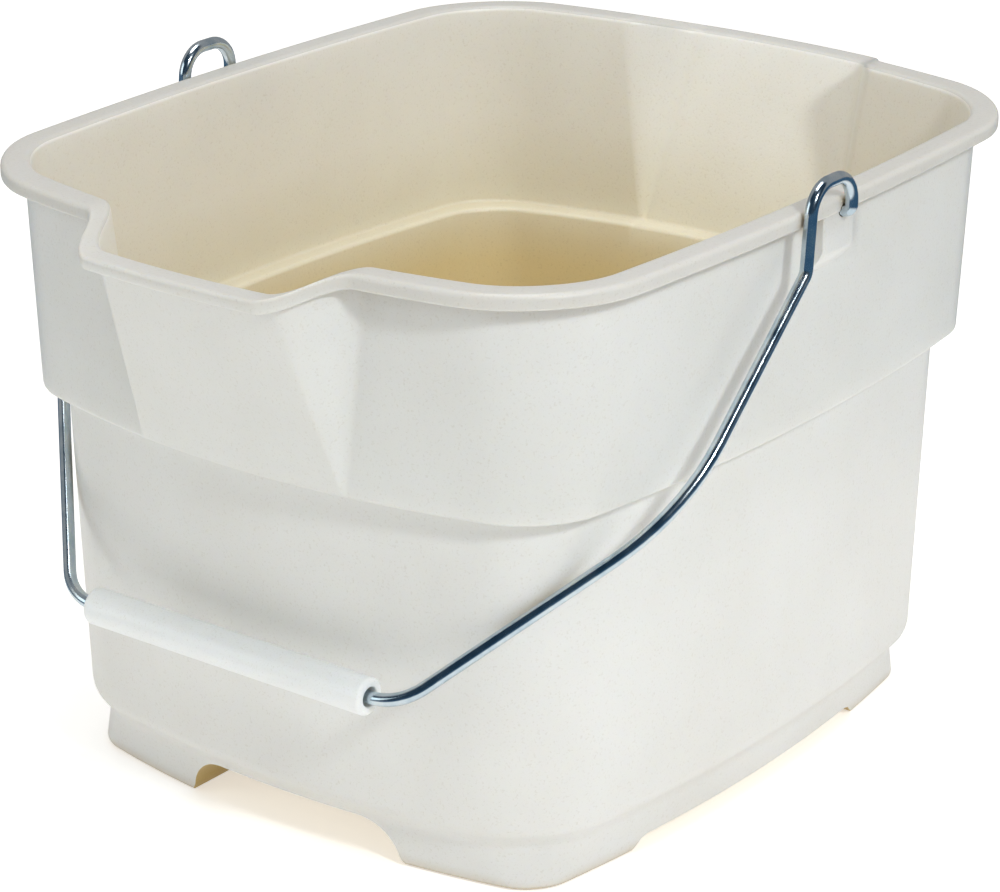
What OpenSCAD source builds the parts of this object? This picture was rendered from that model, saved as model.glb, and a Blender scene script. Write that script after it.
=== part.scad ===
// Rectangular wash bucket: one moulded shell, one bent wire bail, one tube grip.
// Millimetres, +Z up, X along the long side, origin at the centre of the footprint.
// At rest the bail hangs over the -X end.

/* [Bucket] */
// Height of the rim above the floor
bucket_h = 265; // [255:1:275]
// Length of the rim between the flat corners of its ends
rim_l = 341; // [335:1:350]
// Width of the rim between the flat corners of its sides
rim_w = 303.4; // [298:0.2:306]
// Outward bow of the rim at the middle of each end
end_bow = 22.4; // [18:0.2:24]
// Outward bow of the rim at the middle of each long side
side_bow = 8; // [7:0.2:8]
// Wall thickness
wall = 2.8; // [2.2:0.1:3.2]
// Height of the ledge where the skirt steps in
ledge_z = 167; // [160:1:172]
// Depth of the step at the ledge
ledge_step = 8.3; // [7:0.1:9]

/* [Rim and spouts] */
// Overhang of the rim flange beyond the wall
rim_out = 9.2; // [8:0.1:9.4]
// Height of the rim flange
rim_t = 6.4; // [6:0.1:8]
// How far a pouring spout pushes the rim out
spout_out = 27; // [20:1:28]
// How far the spout lets the rim down
spout_drop = 8; // [4:0.5:8]
// Half width of the spout at its lip
spout_lip_y = 48; // [40:1:50]
// Half width of the spout where it leaves the end wall
spout_root_y = 62; // [57:1:66]

/* [Feet] */
// Height of the floor above the ground, and of the notches in the ends
floor_z = 19; // [17:1:20]
// Height of the notches in the long sides
side_notch_z = 6; // [4:1:8]
// Half length of a side notch
side_notch_x = 76; // [70:1:80]
// Half width of an end notch at its top
end_notch_y = 36; // [34:1:40]
// How far the end notches sit off the centre, towards -Y
notch_off = 4; // [0:1:5]

/* [Bail and grip] */
// Wire diameter
wire_d = 5.4; // [4.8:0.1:5.5]
// Half distance between the two hooks
hook_y = 162.8; // [162.7:0.1:164]
// Length of the grip
grip_l = 145; // [130:1:145]
// Outside diameter of the grip
grip_d = 15.6; // [14:0.2:16]
// Bore of the grip
grip_bore = 8; // [7:0.2:9]

/* [Hidden] */

corner_steps = 8;
side_steps = 7;
flange_t = 2.8;

// Bail pivot: holes in the ear bosses under the rim of the long sides
pivot_x = 7.9;
pivot_z = bucket_h - 6;
hole_d = wire_d + 0.6;
ear_x = [-5, 24];
ear_bottom = bucket_h - 24.5;
ear_in = rim_w / 2 + side_bow - rim_out - 1.6;
ear_out = rim_w / 2 + side_bow - 0.8;

// Bail centre line, one side; the other side mirrors it
pin_end_y = ear_in + 2.6;
hook_top = pivot_z + 16.5;
hook_w = 29;
hook_r = 12;
slope = 42.6;
kink = [-24, -hook_y, bucket_h - 24];
function below_kink(d, y) = [kink[0] - d * cos(slope), y, kink[2] - d * sin(slope)];
arm_end = below_kink(111.5, -hook_y + 0.2);
grip_at = below_kink(220, -85.9);
bail_path = [
    [pivot_x, -pin_end_y, pivot_z],
    [pivot_x, -hook_y, pivot_z],
    [pivot_x, -hook_y, hook_top],
    [pivot_x - hook_w, -hook_y, hook_top],
    kink,
    arm_end,
    grip_at,
];
bail_bends = [0, 3, hook_r, hook_r, 6, 103, 25];

// How far up the skirt a level is: 0 at the ledge, 1 at the rim
function up_skirt(z) = max(0, (z - ledge_z) / (bucket_h - ledge_z));

// Half widths of the spout creases at a level; they meet at the ledge
spout_apex_y = 53;
function root_y(z) = spout_apex_y + (spout_root_y - spout_apex_y) * up_skirt(z);
function lip_y(z) = spout_apex_y - 1.5 + (spout_lip_y - spout_apex_y + 1.5) * up_skirt(z);

function arc(x, y, r, from) =
    [for (i = [0 : corner_steps]) [x + r * cos(from + 90 * i / corner_steps),
                                   y + r * sin(from + 90 * i / corner_steps)]];
function side(x, y, s) =
    [for (i = [1 : side_steps]) [s * (x - 2 * x * i / (side_steps + 1)), s * y]];
function end(x, y, z, s) =
    let (m = (y + root_y(z)) / 2, c = root_y(z), l = lip_y(z))
    [for (v = [m, c, l, l / 2, 0, -l / 2, -l, -c, -m]) [s * x, s * v]];

// Round-cornered rectangle of half size a by b, anticlockwise
function plan(a, b, r, z) = concat(
    arc(a - r, b - r, r, 0), side(a - r, b, 1),
    arc(r - a, b - r, r, 90), end(-a, b - r, z, 1),
    arc(r - a, r - b, r, 180), side(a - r, b, -1),
    arc(a - r, r - b, r, 270), end(-a, b - r, z, -1));

// One level of the shell: [height, inset from the rim, corner radius, end bow, side bow]
function in_spout(p, z) = abs(p[1]) < lip_y(z) + 0.1 ? up_skirt(z) : 0;
function ring(s) =
    let (z = s[0], a = rim_l / 2 - s[1], b = rim_w / 2 - s[1])
    [for (p = plan(a, b, s[2], z))
        let (k = in_spout(p, z), u = p[0] / a, v = p[1] / b)
        [p[0] + u * s[3] * (1 - v * v) + sign(p[0]) * spout_out * k,
         p[1] + v * s[4] * (1 - u * u),
         z - spout_drop * k]];

skirt_top = [rim_out, 34.3, end_bow, side_bow];
skirt_foot = [rim_out + 5.4, 25, end_bow + 0.9, side_bow + 4.1];
body_top = [skirt_foot[0] + ledge_step, 22, end_bow + 0.9, side_bow + 4.1];
body_foot = [body_top[0] - 0.4, 38, end_bow - 6.4, side_bow + 4.5];
foot = [body_foot[0] + 9.6, 15, body_foot[2], body_foot[3]];

function level(z, s, inset) = ring([z, s[0] + inset, max(4, s[1] - inset), s[2], s[3]]);

// From the middle of the inside floor up the inside, over the rim and down the outside
function shell_rings() = [
    level(floor_z + 3, body_foot, 12),
    level(floor_z + 5, body_foot, 8),
    level(floor_z + 10, body_foot, 4.2),
    level(floor_z + 15, body_foot, wall),
    level(ledge_z + 2.6, body_top, wall),
    level(ledge_z + 3.4, body_top, wall - 1),
    level(ledge_z + 3.8, skirt_foot, wall + 0.6),
    level(ledge_z + 4.6, skirt_foot, wall),
    level(bucket_h - 2.2, skirt_top, wall),
    level(bucket_h - 0.5, skirt_top, wall - 0.7),
    level(bucket_h, skirt_top, wall - 1.6),
    level(bucket_h, skirt_top, 1.6 - rim_out),
    level(bucket_h - 0.5, skirt_top, 0.6 - rim_out),
    level(bucket_h - 1.8, skirt_top, -rim_out),
    level(bucket_h - rim_t + 0.6, skirt_top, -rim_out),
    level(bucket_h - rim_t, skirt_top, 0.6 - rim_out),
    level(bucket_h - rim_t, skirt_top, 2.2 - rim_out),
    level(bucket_h - flange_t, skirt_top, 2.4 - rim_out),
    level(bucket_h - flange_t, skirt_top, 0),
    level(ledge_z + 1, skirt_foot, 0),
    level(ledge_z, skirt_foot, 0.8),
    level(ledge_z + 1, body_top, 0),
    level(floor_z + 13, body_foot, 0),
    level(floor_z + 9, body_foot, 1.1),
    level(floor_z + 5, body_foot, 3.9),
    level(floor_z + 1, body_foot, 6.6),
    level(floor_z - 2, body_foot, 7.4),
    level(2.2, foot, 0),
    level(0.7, foot, 0.6),
    level(0, foot, 2.2),
];

module shell() {
    rings = shell_rings();
    n = len(rings[0]);
    m = len(rings);
    points = [for (r = rings) each r];
    walls = [for (j = [0 : m - 2], i = [0 : n - 1])
        let (k = (i + 1) % n)
        each [[j * n + i, (j + 1) * n + k, (j + 1) * n + i], [j * n + i, j * n + k, (j + 1) * n + k]]];
    floor_face = [for (i = [n - 1 : -1 : 0]) i];
    ground_face = [for (i = [0 : n - 1]) (m - 1) * n + i];
    polyhedron(points, concat([floor_face], walls, [ground_face]), convexity = 8);
}

// Boss under the rim that takes the end of the bail, on the side s = 1 or -1
module ear(s) {
    translate([ear_x[0], s > 0 ? ear_in : -ear_out, ear_bottom])
        cube([ear_x[1] - ear_x[0], ear_out - ear_in, bucket_h - flange_t + 0.4 - ear_bottom]);
}

module ear_hole(s) {
    translate([pivot_x, s * (ear_in + 1.8), pivot_z])
        rotate([-90 * s, 0, 0])
            cylinder(h = 20, d = hole_d, $fn = 48);
}

// Space under the floor: a tunnel between the end notches and a pocket between the sides.
// The tunnel's sides spread in a quarter circle towards the ground.
pocket_y = 112;
module under_floor() {
    tunnel_l = rim_l + 2 * end_bow;
    translate([-tunnel_l / 2, -end_notch_y - notch_off, -1])
        cube([tunnel_l, 2 * end_notch_y, floor_z + 1]);
    for (s = [-1, 1])
        translate([-tunnel_l / 2, s * end_notch_y - notch_off, 0])
            rotate([0, 90, 0])
                cylinder(h = tunnel_l, r = floor_z, $fn = 64);
    translate([-side_notch_x, -pocket_y, -1])
        cube([2 * side_notch_x, 2 * pocket_y, floor_z + 1]);
    translate([-side_notch_x, -rim_w / 2, -1])
        cube([2 * side_notch_x, rim_w, side_notch_z + 1]);
}

// Wells that carry the inside floor down into each foot
well_x = [80, 134];
well_y = [62, 113];
module well(sx, sy) {
    r = 12;
    x0 = min(sx * well_x[0], sx * well_x[1]);
    y0 = min(sy * well_y[0], sy * well_y[1]);
    w = well_x[1] - well_x[0];
    d = well_y[1] - well_y[0];
    translate([x0, y0, wall + 0.4]) {
        translate([r, 0, 0]) cube([w - 2 * r, d, floor_z + 2]);
        translate([0, r, 0]) cube([w, d - 2 * r, floor_z + 2]);
        for (x = [r, w - r], y = [r, d - r])
            translate([x, y, 0]) cylinder(h = floor_z + 2, r = r, $fn = 32);
    }
}

module bucket() {
    color("antiquewhite")
    difference() {
        union() {
            shell();
            ear(1);
            ear(-1);
        }
        ear_hole(1);
        ear_hole(-1);
        under_floor();
        for (sx = [-1, 1], sy = [-1, 1]) well(sx, sy);
    }
}

function unit(v) = v / norm(v);

// Vector v turned about the unit vector k by the angle a
function turned(v, k, a) = v * cos(a) + cross(k, v) * sin(a) + k * (k * v) * (1 - cos(a));

// Wire centre line: both halves of the path, with a bend at each point but the first and last
last_point = len(bail_path) - 1;
wire_pts = concat(bail_path,
    [for (i = [last_point : -1 : 0]) [bail_path[i][0], -bail_path[i][1], bail_path[i][2]]]);
wire_bends = concat(bail_bends, [for (i = [last_point : -1 : 0]) bail_bends[i]]);
wire_r = wire_d / 2 - 0.05;
wire_sides = 24;
pin_overlap = 1.2;

function run_dir(i) = unit(wire_pts[i + 1] - wire_pts[i]);
function bend_axis(i) = unit(cross(run_dir(i - 1), run_dir(i)));
function bend_turn(i) = acos(run_dir(i - 1) * run_dir(i));
function bend_run(i) = wire_bends[i] * tan(bend_turn(i) / 2);

// A direction square to run i, carried along the wire without twist
function run_side(i) =
    i == 0 ? [1, 0, 0] : turned(run_side(i - 1), bend_axis(i), bend_turn(i));

function wire_ring(c, dir, u) =
    let (v = cross(dir, u))
    [for (j = [0 : wire_sides - 1])
        c + wire_r * (u * cos(360 * j / wire_sides) + v * sin(360 * j / wire_sides))];

function bend_rings(i) =
    let (k = bend_axis(i),
         turn = bend_turn(i),
         steps = max(3, ceil(turn / 9)),
         start = wire_pts[i] - run_dir(i - 1) * bend_run(i),
         arm = cross(k, run_dir(i - 1)) * wire_bends[i],
         side = run_side(i - 1))
    [for (s = [0 : steps])
        let (a = turn * s / steps)
        wire_ring(start + arm - turned(arm, k, a), turned(run_dir(i - 1), k, a), turned(side, k, a))];

// Where the bent wire starts inside its pin
wire_start = hook_y - bail_bends[1] - pin_overlap - pin_end_y;

module wire() {
    end = len(wire_pts) - 1;
    rings = concat(
        [wire_ring(wire_pts[0] + run_dir(0) * wire_start, run_dir(0), run_side(0))],
        [for (i = [1 : end - 1]) each bend_rings(i)],
        [wire_ring(wire_pts[end] - run_dir(end - 1) * wire_start, run_dir(end - 1), run_side(end - 1))]);
    n = wire_sides;
    m = len(rings);
    skin = [for (j = [0 : m - 2], i = [0 : n - 1])
        let (k = (i + 1) % n)
        each [[j * n + i, (j + 1) * n + i, (j + 1) * n + k], [j * n + i, (j + 1) * n + k, j * n + k]]];
    first = [for (i = [0 : n - 1]) i];
    last = [for (i = [n - 1 : -1 : 0]) (m - 1) * n + i];
    polyhedron([for (r = rings) each r], concat([first], skin, [last]), convexity = 10);
}

module bail() {
    pin_l = hook_y - bail_bends[1] - 0.2 - pin_end_y;
    color("silver")
    union() {
        wire();
        for (s = [-1, 1])
            translate([pivot_x, s * pin_end_y, pivot_z])
                rotate([-90 * s, 0, 0])
                    cylinder(h = pin_l, d = wire_d, $fn = 48);
    }
}

module grip() {
    edge = 1.6;
    color("white")
    translate([grip_at[0], grip_l / 2, grip_at[2]])
        rotate([90, 0, 0])
            rotate_extrude($fn = 64)
                translate([grip_bore / 2, 0]) {
                    t = (grip_d - grip_bore) / 2;
                    translate([0, edge]) square([t, grip_l - 2 * edge]);
                    square([t - edge, grip_l]);
                    for (h = [edge, grip_l - edge])
                        translate([t - edge, h]) circle(r = edge, $fn = 32);
                }
}

bucket();
bail();
grip();
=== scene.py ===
"""Looks for the wash bucket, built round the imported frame. Metres, +Z up, X along the long side."""
import math

import bmesh
import bpy
from mathutils import Matrix, Vector


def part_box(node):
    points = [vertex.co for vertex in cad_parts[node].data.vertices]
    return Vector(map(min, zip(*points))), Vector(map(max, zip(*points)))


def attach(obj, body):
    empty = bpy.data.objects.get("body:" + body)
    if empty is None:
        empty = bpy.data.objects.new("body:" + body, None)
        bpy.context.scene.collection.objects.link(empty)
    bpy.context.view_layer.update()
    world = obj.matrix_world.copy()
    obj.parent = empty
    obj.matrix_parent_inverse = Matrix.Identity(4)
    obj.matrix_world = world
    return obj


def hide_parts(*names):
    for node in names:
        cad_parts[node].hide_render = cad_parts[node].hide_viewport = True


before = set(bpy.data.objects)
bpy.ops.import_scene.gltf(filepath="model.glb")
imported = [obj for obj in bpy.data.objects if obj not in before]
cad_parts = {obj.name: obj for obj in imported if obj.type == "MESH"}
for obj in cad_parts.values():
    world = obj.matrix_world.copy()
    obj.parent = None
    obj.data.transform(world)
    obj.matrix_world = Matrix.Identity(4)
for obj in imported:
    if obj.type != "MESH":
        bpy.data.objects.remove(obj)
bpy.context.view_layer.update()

MM = 0.001
SCENE = bpy.context.scene


# ---------------------------------------------------------------- helpers
def mesh_object(name, points, faces):
    """A mesh object from points in millimetres and faces, with outward normals."""
    mesh = bpy.data.meshes.new(name)
    mesh.from_pydata([tuple(c * MM for c in p) for p in points], [], faces)
    mesh.validate()
    piece = bpy.data.objects.new(name, mesh)
    SCENE.collection.objects.link(piece)
    bm = bmesh.new()
    bm.from_mesh(mesh)
    bmesh.ops.recalc_face_normals(bm, faces=bm.faces)
    bm.to_mesh(mesh)
    bm.free()
    return piece


def boolean(target, tool, operation):
    """Applies a boolean to target and removes the tool."""
    mod = target.modifiers.new("cut", "BOOLEAN")
    mod.operation = operation
    mod.solver = "MANIFOLD"
    mod.object = tool
    graph = bpy.context.evaluated_depsgraph_get()
    result = bpy.data.meshes.new_from_object(target.evaluated_get(graph))
    target.modifiers.clear()
    target.data = result
    bpy.data.objects.remove(tool)


def join(pieces):
    """One object from several that don't touch."""
    bm = bmesh.new()
    for piece in pieces:
        bm.from_mesh(piece.data)
    bm.to_mesh(pieces[0].data)
    bm.free()
    for piece in pieces[1:]:
        bpy.data.objects.remove(piece)
    return pieces[0]


def smooth(piece, angle):
    """Smooth shading, with edges sharper than angle degrees left crisp."""
    piece.data.polygons.foreach_set("use_smooth", [True] * len(piece.data.polygons))
    piece.data.set_sharp_from_angle(angle=math.radians(angle))


def prism(name, outline, lo, hi, axis):
    """An outline of two coordinates, extruded from lo to hi along axis 0, 1 or 2."""
    n = len(outline)
    points = []
    for t in (lo, hi):
        for u, v in outline:
            p = [u, v]
            p.insert(axis, t)
            points.append(p)
    faces = [[i, (i + 1) % n, n + (i + 1) % n, n + i] for i in range(n)]
    faces += [list(range(n)), list(range(n, 2 * n))]
    return mesh_object(name, points, faces)


def rounded_box(name, lo, hi, r, steps=4):
    """A box with all its edges rounded to radius r."""
    bm = bmesh.new()
    bmesh.ops.create_cube(bm, size=1)
    size = [h - l for l, h in zip(lo, hi)]
    middle = [(h + l) / 2 for l, h in zip(lo, hi)]
    bmesh.ops.scale(bm, vec=[s * MM for s in size], verts=bm.verts)
    bmesh.ops.translate(bm, vec=[m * MM for m in middle], verts=bm.verts)
    bmesh.ops.bevel(bm, geom=bm.edges, offset=r * MM, segments=steps, profile=0.5, affect="EDGES")
    mesh = bpy.data.meshes.new(name)
    bm.to_mesh(mesh)
    bm.free()
    piece = bpy.data.objects.new(name, mesh)
    SCENE.collection.objects.link(piece)
    return piece


# ---------------------------------------------------------------- bucket shape, millimetres
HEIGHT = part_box("bucket")[1][2] / MM
RIM_L, RIM_W = 341, 303.4
WALL = 2.8
LEDGE_Z = 167
FLOOR_Z, FLOOR_T, FLOOR_R = 19, 3.0, 12.0
RIM_OUT, RIM_T, FLANGE_T = 9.2, 6.4, 2.8
SPOUT_OUT, SPOUT_DROP = 27, 8
SPOUT_LIP, SPOUT_ROOT, SPOUT_APEX = 48, 62, 53
LIP_INSIDE_ROOT = 1.5
CREASE_SOFTNESS = 0.5
SIDE_NOTCH_X, SIDE_NOTCH_Z, SIDE_NOTCH_FOOT = 76, 6, 85
END_NOTCH_Y, NOTCH_OFF, POCKET_Y = 36, 4, 112

# Outlines: inset from the rim, corner radius, bow of the ends, bow of the sides
SKIRT_TOP = (9.2, 34.3, 22.4, 8.0)
SKIRT_FOOT = (14.6, 25.0, 23.3, 12.1)
BODY_TOP = (22.9, 22.0, 23.3, 12.1)
BODY_FOOT = (22.5, 38.0, 16.0, 12.5)
FOOT_TOP = (BODY_FOOT[0] + 7.4, 30.6, 16, 12.5)
FOOT = (32.1, 15.0, 16.0, 12.5)

# Rounded step from the body into the feet: heights and insets
FOOT_STEP = (
    (31.5, 0), (29.5, 0.35), (27.5, 1.1), (25.5, 2.4), (23.5, 4.1), (21.5, 5.6), (19.5, 6.8), (17.5, 7.4),
)
FOOT_EDGE_R, FOOT_RISE = 2.2, 15.3

CORNER_STEPS = 18
END_STEPS = (8, 20, 10)
SIDE_STEPS = (8, 8, 12)

# Half lengths of a level's flat sides below which its point spacing shrinks to fit
FULL_END, FULL_SIDE = 75, 100
# Heights between which the point spacing of the ends changes from notch to spout
NOTCH_SPACING_Z, SPACING_CHANGE = 30, 110
# Share of a level's half length beyond which a point belongs to an end
END_FROM = 0.8


def smoothstep(t):
    t = min(1.0, max(0.0, t))
    return t * t * (3 - 2 * t)


def up_skirt(z):
    return max(0.0, (z - LEDGE_Z) / (HEIGHT - LEDGE_Z))


def root_y(z):
    return SPOUT_APEX + (SPOUT_ROOT - SPOUT_APEX) * up_skirt(z)


def lip_y(z):
    return SPOUT_APEX - LIP_INSIDE_ROOT + (SPOUT_LIP - SPOUT_APEX + LIP_INSIDE_ROOT) * up_skirt(z)


def eased_clamp(t, soft):
    """0 below 0, 1 above 1, straight between, with both corners rounded over soft."""
    def ramp(x):
        if x <= -soft:
            return 0.0
        if x >= soft:
            return x
        return (x + soft) ** 2 / (4 * soft)
    return ramp(t) - ramp(t - 1)


def spout(y, z):
    """How far into the spout a point is: 0 outside, up_skirt(z) at the lip."""
    t = (root_y(z) - abs(y)) / (root_y(z) - lip_y(z))
    return up_skirt(z) * eased_clamp(t, CREASE_SOFTNESS)


def run(stops, counts):
    """Values between stops, evenly split, without the last."""
    out = []
    for a, b, n in zip(stops, stops[1:], counts):
        out += [a + (b - a) * i / n for i in range(n)]
    return out


def half_end(corner, z):
    """Places |y| down one half of an end, from the corner to the middle."""
    fit = min(1.0, corner / FULL_END)
    ease = CREASE_SOFTNESS * (root_y(z) - lip_y(z))
    crease = run([corner, fit * (root_y(z) + ease), fit * (lip_y(z) - ease), 0], END_STEPS)
    notch = run([corner, fit * (END_NOTCH_Y + FLOOR_Z), fit * END_NOTCH_Y, 0], END_STEPS)
    w = smoothstep((z - NOTCH_SPACING_Z) / SPACING_CHANGE)
    return [c * w + n * (1 - w) for c, n in zip(crease, notch)]


def outline(shape, inset, z):
    """One closed level of the shell, anticlockwise from the start of the +X +Y corner."""
    a = RIM_L / 2 - shape[0] - inset
    b = RIM_W / 2 - shape[0] - inset
    r = max(4.0, shape[1] - inset)
    ys = half_end(b - r, z)
    fit = min(1.0, (a - r) / FULL_SIDE)
    xs = run([a - r, fit * SIDE_NOTCH_FOOT, fit * SIDE_NOTCH_X, 0], SIDE_STEPS)
    end_run = ys + [0.0] + [-y for y in reversed(ys[1:])]
    side_run = xs + [0.0] + [-x for x in reversed(xs[1:])]
    flat = []
    for quarter in range(4):
        sx = (1, -1, -1, 1)[quarter]
        sy = (1, 1, -1, -1)[quarter]
        for i in range(CORNER_STEPS):
            t = math.radians(90 * (quarter + i / CORNER_STEPS))
            flat.append((sx * (a - r) + r * math.cos(t), sy * (b - r) + r * math.sin(t)))
        if quarter % 2 == 0:
            flat += [(sx * x, sy * b) for x in side_run]
        else:
            flat += [(sx * a, sy * y) for y in end_run]
    ring = []
    for x, y in flat:
        u, v = x / a, y / b
        k = spout(y, z) if abs(x) > a * END_FROM else 0.0
        ring.append((
            x + u * shape[2] * (1 - v * v) + math.copysign(SPOUT_OUT * k, x),
            y + v * shape[3] * (1 - u * u),
            z - SPOUT_DROP * k,
        ))
    return ring


def between(low, high, t):
    return tuple(p + (q - p) * t for p, q in zip(low, high))


def arc_levels(z, inset, r, start, stop, steps):
    """Levels along an arc of radius r about (z, inset), in degrees from the outward direction."""
    out = []
    for i in range(steps + 1):
        t = math.radians(start + (stop - start) * i / steps)
        out.append((z + r * math.sin(t), inset - r * math.cos(t)))
    return out


def shell_levels():
    """(z, outline, inset) from the inside floor up, over the rim and down to the ground."""
    levels = []
    # inside floor and its rounded corner
    for inset in (110, 80, 50, 30, 20):
        levels.append((FLOOR_Z + FLOOR_T, BODY_FOOT, inset))
    wall_foot = FLOOR_Z + FLOOR_T + FLOOR_R
    for z, inset in arc_levels(wall_foot, WALL + FLOOR_R, FLOOR_R, -90, 0, 10):
        levels.append((z, BODY_FOOT, inset))
    # lower inside wall
    for i in range(1, 14):
        t = i / 14
        z = wall_foot + (LEDGE_Z + 1.0 - wall_foot) * t
        levels.append((z, between(BODY_FOOT, BODY_TOP, t), WALL))
    # inside ledge, rounded
    for z, inset in arc_levels(LEDGE_Z + 1.8, WALL - 2.0, 2.0, 180, 90, 4):
        levels.append((z, BODY_TOP, inset))
    for z, inset in arc_levels(LEDGE_Z + 5.4, WALL + 1.6, 1.6, -90, 0, 4):
        levels.append((z, SKIRT_FOOT, inset))
    # upper inside wall
    for i in range(1, 12):
        t = i / 12
        z = LEDGE_Z + 5.4 + (HEIGHT - 2.4 - LEDGE_Z - 5.4) * t
        levels.append((z, between(SKIRT_FOOT, SKIRT_TOP, t), WALL))
    # rim: rounded inner edge, flat top, rounded outer edge, hollow underneath
    for z, inset in arc_levels(HEIGHT - 2.4, WALL - 2.4, 2.4, 180, 90, 5):
        levels.append((z, SKIRT_TOP, inset))
    for inset in (-1.2, -3.4, -5.2):
        levels.append((HEIGHT, SKIRT_TOP, inset))
    for z, inset in arc_levels(HEIGHT - 2.2, 2.2 - RIM_OUT, 2.2, 90, 0, 5):
        levels.append((z, SKIRT_TOP, inset))
    for z, inset in arc_levels(HEIGHT - RIM_T + 1.0, 1.0 - RIM_OUT, 1.0, 0, -90, 4):
        levels.append((z, SKIRT_TOP, inset))
    levels.append((HEIGHT - RIM_T, SKIRT_TOP, 2.0 - RIM_OUT))
    levels.append((HEIGHT - RIM_T + 0.5, SKIRT_TOP, 2.5 - RIM_OUT))
    levels.append((HEIGHT - FLANGE_T - 0.4, SKIRT_TOP, 2.7 - RIM_OUT))
    levels.append((HEIGHT - FLANGE_T, SKIRT_TOP, 3.2 - RIM_OUT))
    levels.append((HEIGHT - FLANGE_T, SKIRT_TOP, -1.4))
    levels.append((HEIGHT - FLANGE_T - 0.5, SKIRT_TOP, -0.4))
    levels.append((HEIGHT - FLANGE_T - 1.6, SKIRT_TOP, 0.0))
    # skirt
    for i in range(1, 15):
        t = 1 - i / 15
        z = LEDGE_Z + 1.8 + (HEIGHT - 4.4 - LEDGE_Z - 1.8) * t
        levels.append((z, between(SKIRT_FOOT, SKIRT_TOP, t), 0.0))
    # ledge
    for z, inset in arc_levels(LEDGE_Z + 1.6, 1.6, 1.6, 0, -90, 4):
        levels.append((z, SKIRT_FOOT, inset))
    levels.append((LEDGE_Z + 0.2, BODY_TOP, -1.2))
    levels.append((LEDGE_Z - 0.2, BODY_TOP, -0.4))
    levels.append((LEDGE_Z - 1.2, BODY_TOP, 0.0))
    # body
    for i in range(1, 20):
        t = 1 - i / 20
        z = FOOT_STEP[0][0] + (LEDGE_Z - 1.2 - FOOT_STEP[0][0]) * t
        levels.append((z, between(BODY_FOOT, BODY_TOP, t), 0.0))
    # feet
    for z, inset in FOOT_STEP:
        levels.append((z, BODY_FOOT, inset))
    for i in range(1, 7):
        t = 1 - i / 7
        levels.append((FOOT_EDGE_R + FOOT_RISE * t, between(FOOT, FOOT_TOP, t), 0.0))
    for z, inset in arc_levels(FOOT_EDGE_R, FOOT_EDGE_R, FOOT_EDGE_R, 0, -90, 4):
        levels.append((z, FOOT, inset))
    for inset in (8, 20, 40, 70, 105):
        levels.append((0.0, FOOT, inset))
    return levels


def shell():
    """The bucket's skin as one closed mesh, with the inside plastic up to the rim's inner edge."""
    levels = shell_levels()
    rings = [outline(shape, inset, z) for z, shape, inset in levels]
    n = len(rings[0])
    points = [p for ring in rings for p in ring]
    faces = []
    for j in range(len(rings) - 1):
        for i in range(n):
            k = (i + 1) % n
            faces.append([j * n + i, j * n + k, (j + 1) * n + k, (j + 1) * n + i])
    last = (len(rings) - 1) * n
    faces.append(list(range(n)))
    faces.append([last + i for i in range(n)])
    made = mesh_object("bucket_shell", points, faces)
    rim = max(z for z, shape, inset in levels)
    cavity = next(j for j, level in enumerate(levels) if level[0] >= rim - 1.0)
    # Faces of the cavity take the inside plastic, whose colour is painted shade and light by height.
    give_plastics(made, lambda face: 1 if min(face.vertices) < cavity * n and max(face.vertices) < last else 0)
    return made


def give_plastics(piece, choose):
    """Gives a piece the outside and inside plastics, which carry painted shade; choose(face) says which a
    face takes.
    """
    piece.data.materials.clear()
    piece.data.materials.append(OUTSIDE)
    piece.data.materials.append(INSIDE)
    for face in piece.data.polygons:
        face.material_index = choose(face)


def notch_outline(half_top, height, foot_r):
    """Cross-section of an arched notch, its sides spreading in a quarter circle to the ground."""
    right = []
    steps = 14
    for i in range(steps + 1):
        t = math.radians(90 - 78 * i / steps)
        right.append((half_top + height * math.cos(t), height * math.sin(t)))
    edge = right[-1]
    right.append((edge[0] + foot_r * 0.35, edge[1] - foot_r * 0.75))
    right.append((edge[0] + foot_r * 1.3, -0.4))
    right.append((edge[0] + foot_r * 1.5, -3))
    left = [(-y, z) for y, z in reversed(right)]
    return [(y - NOTCH_OFF, z) for y, z in right + left]


def under_floor():
    """Space under the floor: a tunnel between the end notches, a pocket and the side notches."""
    tunnel = prism("tunnel", notch_outline(END_NOTCH_Y, FLOOR_Z, 2.0), -200, 200, 0)
    # 0.01 mm below the tunnel's roof, so that the two tops don't coincide
    pocket_top = FLOOR_Z - 0.01
    pocket = rounded_box("pocket", (-SIDE_NOTCH_X, -POCKET_Y, -20), (SIDE_NOTCH_X, POCKET_Y, pocket_top), 5)
    sides = [(SIDE_NOTCH_X, SIDE_NOTCH_Z), (SIDE_NOTCH_X + 3, SIDE_NOTCH_Z - 0.9),
             (SIDE_NOTCH_FOOT - 1, 0.8), (SIDE_NOTCH_FOOT + 3, -0.6), (SIDE_NOTCH_FOOT + 4, -3)]
    sides += [(-x, z) for x, z in reversed(sides)]
    notch = prism("side_notch", sides, -170, 170, 1)
    boolean(tunnel, pocket, "UNION")
    boolean(tunnel, notch, "UNION")
    # The notches and pocket under the floor take the inside plastic: their tan is painted shade.
    give_plastics(tunnel, lambda face: 1)
    return tunnel


def pin_hole(s):
    """Round hole for the pin at the end of the wire, on the side s = 1 or -1."""
    steps = 40
    ring = [(PIVOT_X + HOLE_R * math.cos(2 * math.pi * i / steps),
             PIVOT_Z + HOLE_R * math.sin(2 * math.pi * i / steps)) for i in range(steps)]
    start = s * (EAR_IN + HOLE_BLIND)
    return prism("pin_hole", ring, start, start + s * HOLE_L, 1)


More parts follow.
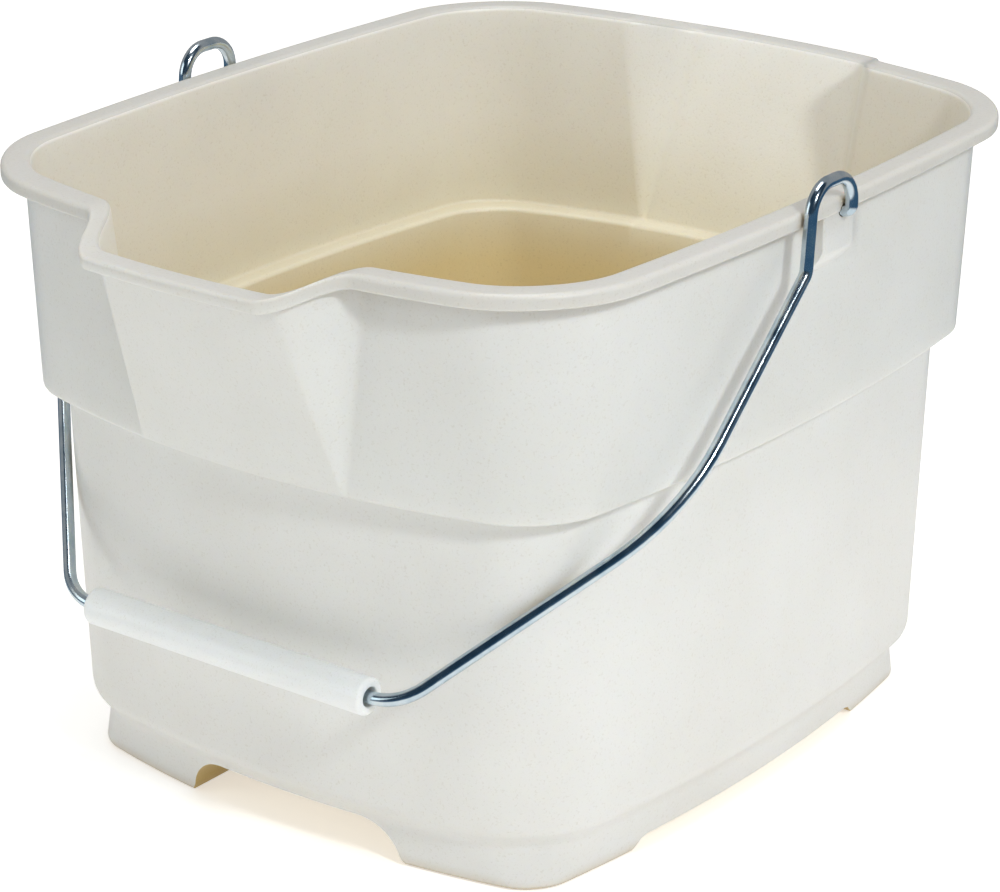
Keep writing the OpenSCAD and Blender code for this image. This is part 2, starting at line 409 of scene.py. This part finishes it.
PIVOT_X, PIVOT_Z = 7.9, HEIGHT - 6
HOLE_R, HOLE_BLIND, HOLE_L = 3.0, 1.8, 20
EAR_IN = RIM_W / 2 + SKIRT_TOP[3] - RIM_OUT - 1.6
EAR_OUT = RIM_W / 2 + SKIRT_TOP[3] - 0.8
EAR_ROOT = EAR_IN - 0.4
EAR_X = (-5, 24)
EAR_FACE_X = (15, 18)
EAR_TOP, EAR_BOTTOM = HEIGHT - 1.6, HEIGHT - 24.5
EAR_FADE_X, EAR_FADE_Z = 11, 9
EAR_CHAMFER = 0.8
WELL_X, WELL_Y = (80, 134), (62, 113)
WELL_FLOOR, WELL_TOP, WELL_R = 3.2, 60, 10


def ears():
    """Bosses under the rim that carry the wire: full at the pin, fading into the wall beyond it."""
    made = []
    levels = ((EAR_TOP, EAR_OUT), (EAR_BOTTOM + 3, EAR_OUT), (EAR_BOTTOM, EAR_OUT - 1.4),
              (EAR_BOTTOM - EAR_FADE_Z, EAR_ROOT + 0.2))
    for s in (1, -1):
        points = []
        for z, out in levels:
            plan = ((EAR_X[0], EAR_ROOT), (EAR_X[0], out - EAR_CHAMFER), (EAR_X[0] + EAR_CHAMFER, out),
                    (EAR_FACE_X[0], out), (EAR_FACE_X[1], out - 0.5), (EAR_X[1] + EAR_FADE_X, EAR_ROOT))
            points += [(x, s * max(y, EAR_ROOT), z) for x, y in plan]
        n = len(plan)
        last = len(levels) - 1
        faces = [[j * n + i, j * n + (i + 1) % n, (j + 1) * n + (i + 1) % n, (j + 1) * n + i]
                 for j in range(last) for i in range(n)]
        faces += [list(range(n)), list(range(last * n, (last + 1) * n))]
        made.append(mesh_object("ear", points, faces))
    return made


def wells():
    """Hollows of the inside floor that reach down into the feet."""
    made = []
    for sx in (1, -1):
        for sy in (1, -1):
            x0, x1 = sorted(sx * x for x in WELL_X)
            y0, y1 = sorted(sy * y for y in WELL_Y)
            made.append(rounded_box("well", (x0, y0, WELL_FLOOR), (x1, y1, WELL_TOP), WELL_R, 5))
            # The wells take the inside plastic: their tan is painted shade.
            give_plastics(made[-1], lambda face: 1)
    return made


# ---------------------------------------------------------------- materials
def node(tree, kind, **settings):
    made = tree.nodes.new("ShaderNode" + kind)
    for key, value in settings.items():
        setattr(made, key, value)
    return made


def shader(name):
    material = bpy.data.materials.new(name)
    material.use_nodes = True
    tree = material.node_tree
    return material, tree, tree.nodes["Principled BSDF"]


def ramp(tree, source, stops):
    """Colour ramp through (place, colour) stops."""
    made = node(tree, "ValToRGB")
    elements = made.color_ramp.elements
    while len(elements) < len(stops):
        elements.new(0.5)
    for element, (place, colour) in zip(elements, stops):
        element.position = place
        element.color = (*colour, 1)
    tree.links.new(source, made.inputs["Fac"])
    return made.outputs["Color"]


def noise(tree, where, scale, detail=2.0, rough=0.5):
    made = node(tree, "TexNoise")
    made.inputs["Scale"].default_value = scale
    made.inputs["Detail"].default_value = detail
    made.inputs["Roughness"].default_value = rough
    tree.links.new(where, made.inputs["Vector"])
    return made.outputs["Fac"]


def spread(tree, source, low, high):
    """Maps 0.3..0.7 of a noise to low..high."""
    made = node(tree, "MapRange")
    for key, value in (("From Min", 0.3), ("From Max", 0.7), ("To Min", low), ("To Max", high)):
        made.inputs[key].default_value = value
    tree.links.new(source, made.inputs["Value"])
    return made.outputs["Result"]


def multiply(tree, a, b, factor):
    made = node(tree, "Mix", data_type="RGBA", blend_type="MULTIPLY")
    made.inputs["Factor"].default_value = factor
    tree.links.new(a, made.inputs[6])
    tree.links.new(b, made.inputs[7])
    return made.outputs[2]


def bump(tree, source, strength, distance, base=None):
    made = node(tree, "Bump")
    made.inputs["Strength"].default_value = strength
    made.inputs["Distance"].default_value = distance
    tree.links.new(source, made.inputs["Height"])
    if base:
        tree.links.new(base, made.inputs["Normal"])
    return made.outputs["Normal"]


def plastic(name, stops, roughness, scatter, crevice_shade_colour, crevice_shade_reach, grain_scale=900):
    """Moulded plastic: colour by height, where the stops paint shade and light; mottling, pebbled grain,
    painted shade in crevices, faint scuffs.
    """
    material, tree, bsdf = shader(name)
    where = node(tree, "NewGeometry").outputs["Position"]
    split = node(tree, "SeparateXYZ")
    tree.links.new(where, split.inputs[0])
    up = node(tree, "MapRange")
    up.inputs["From Max"].default_value = HEIGHT * MM
    tree.links.new(split.outputs["Z"], up.inputs["Value"])
    # Colour by height: the stops of the outside and inside plastics paint shade and light that stand in for
    # how light falls.
    colour = ramp(tree, up.outputs["Result"], stops)
    clouds = noise(tree, where, 14, 3, 0.55)
    tint = ramp(tree, clouds, [(0.3, (0.95, 0.945, 0.93)), (0.7, (1, 1, 1))])
    colour = multiply(tree, colour, tint, 1.0)
    grain = noise(tree, where, grain_scale, 2, 0.6)
    dots = ramp(tree, grain, [(0.30, (0.90, 0.885, 0.86)), (0.42, (1, 1, 1))])
    colour = multiply(tree, colour, dots, 0.8)
    # Painted shade: ambient occlusion darkens and tints the colour in crevices, recesses and between parts.
    crevice = node(tree, "AmbientOcclusion", samples=8)
    crevice.inputs["Distance"].default_value = crevice_shade_reach
    shade = ramp(tree, crevice.outputs["AO"], [(0.05, crevice_shade_colour), (0.75, (1, 1, 1))])
    colour = multiply(tree, colour, shade, 1.0)
    tree.links.new(colour, bsdf.inputs["Base Color"])
    stretch = node(tree, "VectorMath", operation="MULTIPLY")
    stretch.inputs[1].default_value = (1, 1, 0.12)
    tree.links.new(where, stretch.inputs[0])
    scuffs = noise(tree, stretch.outputs[0], 420, 3, 0.6)
    tree.links.new(spread(tree, scuffs, roughness - 0.06, roughness + 0.08), bsdf.inputs["Roughness"])
    normal = bump(tree, grain, 0.22, 0.00035)
    normal = bump(tree, scuffs, 0.05, 0.0003, normal)
    normal = bump(tree, noise(tree, where, 26, 1), 0.10, 0.0016, normal)
    tree.links.new(normal, bsdf.inputs["Normal"])
    bsdf.inputs["IOR"].default_value = 1.5
    bsdf.inputs["Subsurface Weight"].default_value = scatter
    bsdf.inputs["Subsurface Radius"].default_value = (1.0, 0.75, 0.45)
    bsdf.inputs["Subsurface Scale"].default_value = 0.006
    return material


def plated_wire():
    """Bright zinc-plated steel: fine bumps, dull spots, small colour shifts."""
    material, tree, bsdf = shader("plated_steel")
    where = node(tree, "NewGeometry").outputs["Position"]
    dull = noise(tree, where, 110, 3, 0.6)
    fine = noise(tree, where, 1600, 2, 0.6)
    # Painted reflection: the base colour is darker and bluer than plated steel, standing in for the dark
    # blue room the wire reflects; the spots are the plating's own variation.
    colour = ramp(tree, dull, [
        (0.30, (0.40, 0.50, 0.58)), (0.55, (0.56, 0.64, 0.70)), (0.72, (0.66, 0.70, 0.70))])
    tree.links.new(colour, bsdf.inputs["Base Color"])
    tree.links.new(spread(tree, dull, 0.12, 0.22), bsdf.inputs["Roughness"])
    normal = bump(tree, fine, 0.06, 0.0001)
    normal = bump(tree, noise(tree, where, 240, 2), 0.04, 0.0003, normal)
    tree.links.new(normal, bsdf.inputs["Normal"])
    bsdf.inputs["Metallic"].default_value = 1.0
    return material


# Outside plastic: painted shade by height, darker on the skirt above the ledge and darkest on the rim,
# lighter towards the feet; warm tan painted shade in crevices.
OUTSIDE = plastic(
    "cream_plastic",
    [(0.0, (0.80, 0.80, 0.785)), (0.6, (0.765, 0.775, 0.765)),
     (0.66, (0.735, 0.75, 0.74)), (0.94, (0.735, 0.745, 0.735)),
     (0.98, (0.66, 0.655, 0.63)), (1.0, (0.66, 0.655, 0.63))],
    0.34, 0.25, (0.72, 0.58, 0.38), 0.012)
# Inside plastic: painted shade and painted light through the wall, tan and darker towards the bottom, cream
# at the rim; painted shade in crevices. Also used under the floor and in the wells.
INSIDE = plastic(
    "cream_plastic_inside_painted_shade",
    [(0.0, (0.72, 0.57, 0.26)), (0.55, (0.76, 0.65, 0.38)), (0.66, (0.78, 0.74, 0.61)),
     (0.8, (0.86, 0.84, 0.78)), (1.0, (0.88, 0.875, 0.85))],
    0.34, 0.25, (0.90, 0.84, 0.70), 0.03)
# Grip tube: one colour, with painted shade in crevices.
TUBE = plastic(
    "white_tube",
    [(0.0, (0.87, 0.895, 0.905)), (1.0, (0.87, 0.895, 0.905))],
    0.34, 0.2, (0.85, 0.86, 0.86), 0.01, 1200)
WIRE = plated_wire()


# ---------------------------------------------------------------- bail, same path as the frame's
WIRE_R = 2.7
HOOK_Y = 162.8
GRIP_LOW, GRIP_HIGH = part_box("grip")
GRIP_X = (GRIP_LOW[0] + GRIP_HIGH[0]) / 2 / MM
GRIP_Z = (GRIP_LOW[2] + GRIP_HIGH[2]) / 2 / MM
GRIP_HALF = (GRIP_HIGH[1] - GRIP_LOW[1]) / 2 / MM
PIN_END_Y = EAR_IN + 2.6
SLOPE = 42.6
KINK_X, KINK_DROP = -24, 24
HOOK_RISE, HOOK_WIDTH = 16.5, 29
ARM_RUN, ARM_IN = 111.5, 0.2
GRIP_RUN, GRIP_BEND_Y = 220, 85.9
PIN_BEND, HOOK_BEND, KINK_BEND, ARM_BEND, GRIP_BEND = 3, 12, 6, 103, 25


def bail_path():
    """Corners of the wire's centre line, each with its bend radius."""
    slope = math.radians(SLOPE)
    kink = Vector((KINK_X, -HOOK_Y, HEIGHT - KINK_DROP))
    top = PIVOT_Z + HOOK_RISE

    def below(d, y):
        return Vector((kink.x - d * math.cos(slope), y, kink.z - d * math.sin(slope)))

    half = [
        (Vector((PIVOT_X, -PIN_END_Y, PIVOT_Z)), 0),
        (Vector((PIVOT_X, -HOOK_Y, PIVOT_Z)), PIN_BEND),
        (Vector((PIVOT_X, -HOOK_Y, top)), HOOK_BEND),
        (Vector((PIVOT_X - HOOK_WIDTH, -HOOK_Y, top)), HOOK_BEND),
        (kink, KINK_BEND),
        (below(ARM_RUN, -HOOK_Y + ARM_IN), ARM_BEND),
        (below(GRIP_RUN, -GRIP_BEND_Y), GRIP_BEND),
    ]
    mirror = [(Vector((p.x, -p.y, p.z)), r) for p, r in reversed(half)]
    return half + mirror


def centre_line(path):
    """Points and directions along the path, each inner point rounded to its radius."""
    line = []
    first = (path[1][0] - path[0][0]).normalized()
    for d in (0.0, 0.5):
        line.append((path[0][0] + first * d, first))
    for i in range(1, len(path) - 1):
        p, r = path[i]
        a = (p - path[i - 1][0]).normalized()
        b = (path[i + 1][0] - p).normalized()
        turn = a.angle(b)
        axis = a.cross(b).normalized()
        start = p - a * (r * math.tan(turn / 2))
        arm = axis.cross(a) * r
        steps = max(4, math.ceil(math.degrees(turn) / 4))
        for s in range(steps + 1):
            spin = Matrix.Rotation(turn * s / steps, 3, axis)
            line.append((start + arm - spin @ arm, spin @ a))
    last = (path[-1][0] - path[-2][0]).normalized()
    for d in (0.5, 0.0):
        line.append((path[-1][0] - last * d, last))
    return line


def swept(name, line, radius, sides=28):
    """A round wire along the line, its two ends chamfered."""
    up = Vector((1, 0, 0))
    rings = []
    before = line[0][1]
    for i, (centre, along) in enumerate(line):
        up = before.rotation_difference(along) @ up
        before = along
        across = along.cross(up).normalized()
        r = radius - 0.5 if i in (0, len(line) - 1) else radius
        rings.append([centre + (up * math.cos(t) + across * math.sin(t)) * r
                      for t in (2 * math.pi * k / sides for k in range(sides))])
    points = [p for ring in rings for p in ring]
    faces = []
    for j in range(len(rings) - 1):
        for k in range(sides):
            m = (k + 1) % sides
            faces.append([j * sides + k, j * sides + m, (j + 1) * sides + m, (j + 1) * sides + k])
    last = (len(rings) - 1) * sides
    faces += [list(range(sides)), [last + k for k in range(sides)]]
    return mesh_object(name, points, faces)


# ---------------------------------------------------------------- grip
GRIP_R, BORE_R = 7.8, 4.0


def tube(name, sides=72):
    """A tube along Y round the bail's straight run, its ends rounded over."""
    edge = 1.8
    lip = 0.8
    profile = []
    for s in (-1, 1):
        quarter = []
        for i in range(7):
            t = math.radians(90 * i / 6)
            quarter.append((GRIP_R - edge + edge * math.cos(t), s * (GRIP_HALF - edge + edge * math.sin(t))))
        for i in range(5):
            t = math.radians(90 * i / 4)
            quarter.append((BORE_R + lip - lip * math.sin(t), s * (GRIP_HALF - lip + lip * math.cos(t))))
        profile.append(quarter)
    inner = [(BORE_R, GRIP_HALF * t) for t in (0.6, 0.2, -0.2, -0.6)]
    outer = [(GRIP_R, GRIP_HALF * t) for t in (-0.8, -0.4, 0.0, 0.4, 0.8)]
    loop = outer + profile[1] + inner + list(reversed(profile[0]))
    n = len(loop)
    points = []
    for k in range(sides):
        t = 2 * math.pi * k / sides
        points += [(GRIP_X + r * math.cos(t), y, GRIP_Z + r * math.sin(t)) for r, y in loop]
    faces = []
    for k in range(sides):
        m = (k + 1) % sides
        for i in range(n):
            j = (i + 1) % n
            faces.append([k * n + i, k * n + j, m * n + j, m * n + i])
    return mesh_object(name, points, faces)


# ---------------------------------------------------------------- pieces
bucket = shell()
boolean(bucket, join(ears()), "UNION")
boolean(bucket, join(wells() + [under_floor(), pin_hole(1), pin_hole(-1)]), "DIFFERENCE")
smooth(bucket, 38)
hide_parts("bucket")
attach(bucket, "bucket")

bail = swept("bail_wire", centre_line(bail_path()), WIRE_R)
bail.data.materials.append(WIRE)
smooth(bail, 50)
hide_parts("bail")
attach(bail, "bail")

grip = tube("grip_tube")
grip.data.materials.append(TUBE)
smooth(grip, 60)
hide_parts("grip")
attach(grip, "grip")

# ---------------------------------------------------------------- camera
AZIMUTH, ELEVATION, ROLL = -53.09, 21.32, 0.37
DISTANCE = 1.595
TARGET = Vector((-0.0184, -0.0089, 0.130))

az, el, roll = (math.radians(v) for v in (AZIMUTH, ELEVATION, ROLL))
back = Vector((math.sin(az) * math.cos(el), -math.cos(az) * math.cos(el), math.sin(el)))
flat_right = Vector((math.cos(az), math.sin(az), 0))
flat_up = back.cross(flat_right)
right = flat_right * math.cos(roll) + flat_up * math.sin(roll)
up = flat_up * math.cos(roll) - flat_right * math.sin(roll)
camera = bpy.data.objects.new("camera", bpy.data.cameras.new("camera"))
SCENE.collection.objects.link(camera)
camera.matrix_world = Matrix((
    (right.x, up.x, back.x, 0), (right.y, up.y, back.y, 0), (right.z, up.z, back.z, 0), (0, 0, 0, 1)))
camera.location = TARGET + back * DISTANCE
camera.data.lens = 134.3
camera.data.sensor_width = 36
camera.data.clip_end = 50
SCENE.camera = camera


# ---------------------------------------------------------------- floor and light
def floor_material():
    """Pale floor, brighter to the camera. In glossy reflections its far part fades to the dark room."""
    material, tree, bsdf = shader("pale_floor")
    bsdf.inputs["Base Color"].default_value = (0.93, 0.92, 0.90, 1)
    bsdf.inputs["Roughness"].default_value = 0.9
    bsdf.inputs["Specular IOR Level"].default_value = 0.1
    bsdf.inputs["Emission Color"].default_value = (1, 1, 1, 1)
    path = node(tree, "LightPath")
    glow = node(tree, "MapRange")
    glow.inputs["To Min"].default_value = 0.2
    glow.inputs["To Max"].default_value = 0.5
    tree.links.new(path.outputs["Is Camera Ray"], glow.inputs["Value"])
    tree.links.new(glow.outputs["Result"], bsdf.inputs["Emission Strength"])
    reach = node(tree, "VectorMath", operation="LENGTH")
    tree.links.new(node(tree, "NewGeometry").outputs["Position"], reach.inputs[0])
    edge = node(tree, "MapRange")
    edge.inputs["From Min"].default_value = 0.42
    edge.inputs["From Max"].default_value = 0.60
    tree.links.new(reach.outputs["Value"], edge.inputs["Value"])
    beyond = node(tree, "Math", operation="MULTIPLY")
    tree.links.new(path.outputs["Is Glossy Ray"], beyond.inputs[0])
    tree.links.new(edge.outputs["Result"], beyond.inputs[1])
    room = node(tree, "Emission")
    room.inputs["Color"].default_value = DARK_ROOM
    mixed = node(tree, "MixShader")
    tree.links.new(beyond.outputs["Value"], mixed.inputs[0])
    tree.links.new(bsdf.outputs["BSDF"], mixed.inputs[1])
    tree.links.new(room.outputs["Emission"], mixed.inputs[2])
    tree.links.new(mixed.outputs["Shader"], tree.nodes["Material Output"].inputs["Surface"])
    return material


DARK_ROOM = (0.05, 0.12, 0.20, 1)
STAGE_HALF, STAGE_Z = 6000, -0.3
floor = mesh_object(
    "floor",
    [(sx * STAGE_HALF, sy * STAGE_HALF, STAGE_Z) for sx, sy in ((-1, -1), (1, -1), (1, 1), (-1, 1))],
    [[0, 1, 2, 3]])
floor.data.materials.append(floor_material())


def area_light(name, direction, distance, size, watts, colour):
    """Square soft light that shines on the bucket from a direction."""
    data = bpy.data.lights.new(name, "AREA")
    data.size = size
    data.energy = watts
    data.color = colour
    lamp = bpy.data.objects.new(name, data)
    SCENE.collection.objects.link(lamp)
    way = Vector(direction).normalized()
    lamp.location = Vector((0, 0, 0.13)) + way * distance
    lamp.rotation_euler = way.to_track_quat("Z", "Y").to_euler()


area_light("key", (-5.5, -15, 11.5), 2.6, 0.3, 27, (0.95, 0.985, 1.0))
area_light("left", (-16, 12, 6.0), 2.6, 1.4, 10, (0.93, 1.0, 1.0))
area_light("top", (0, 0, 1), 2.4, 1.2, 24, (1.0, 1.0, 1.0))


def studio_world(strength, dark_way, dark_half_angle):
    """Even white room, brighter to the camera. Glossy reflections also see one dark side of it."""
    world = bpy.data.worlds.new("studio")
    SCENE.world = world
    world.use_nodes = True
    tree = world.node_tree
    background = tree.nodes["Background"]
    background.inputs["Strength"].default_value = strength
    where = node(tree, "TexCoord").outputs["Generated"]
    dot = node(tree, "VectorMath", operation="DOT_PRODUCT")
    tree.links.new(where, dot.inputs[0])
    dot.inputs[1].default_value = dark_way
    edge = math.cos(math.radians(dark_half_angle))
    room = ramp(tree, dot.outputs["Value"], [(edge - 0.03, (1, 1, 1)), (edge + 0.05, DARK_ROOM[:3])])
    path = node(tree, "LightPath")
    mirrored = node(tree, "Mix", data_type="RGBA")
    tree.links.new(path.outputs["Is Glossy Ray"], mirrored.inputs["Factor"])
    mirrored.inputs[6].default_value = (1.0, 0.965, 0.91, 1)
    tree.links.new(room, mirrored.inputs[7])
    seen = node(tree, "Mix", data_type="RGBA")
    tree.links.new(path.outputs["Is Camera Ray"], seen.inputs["Factor"])
    tree.links.new(mirrored.outputs[2], seen.inputs[6])
    seen.inputs[7].default_value = (2, 2, 2, 1)
    tree.links.new(seen.outputs[2], background.inputs["Color"])


studio_world(0.36, back, 78)
SCENE.view_settings.view_transform = "Standard"
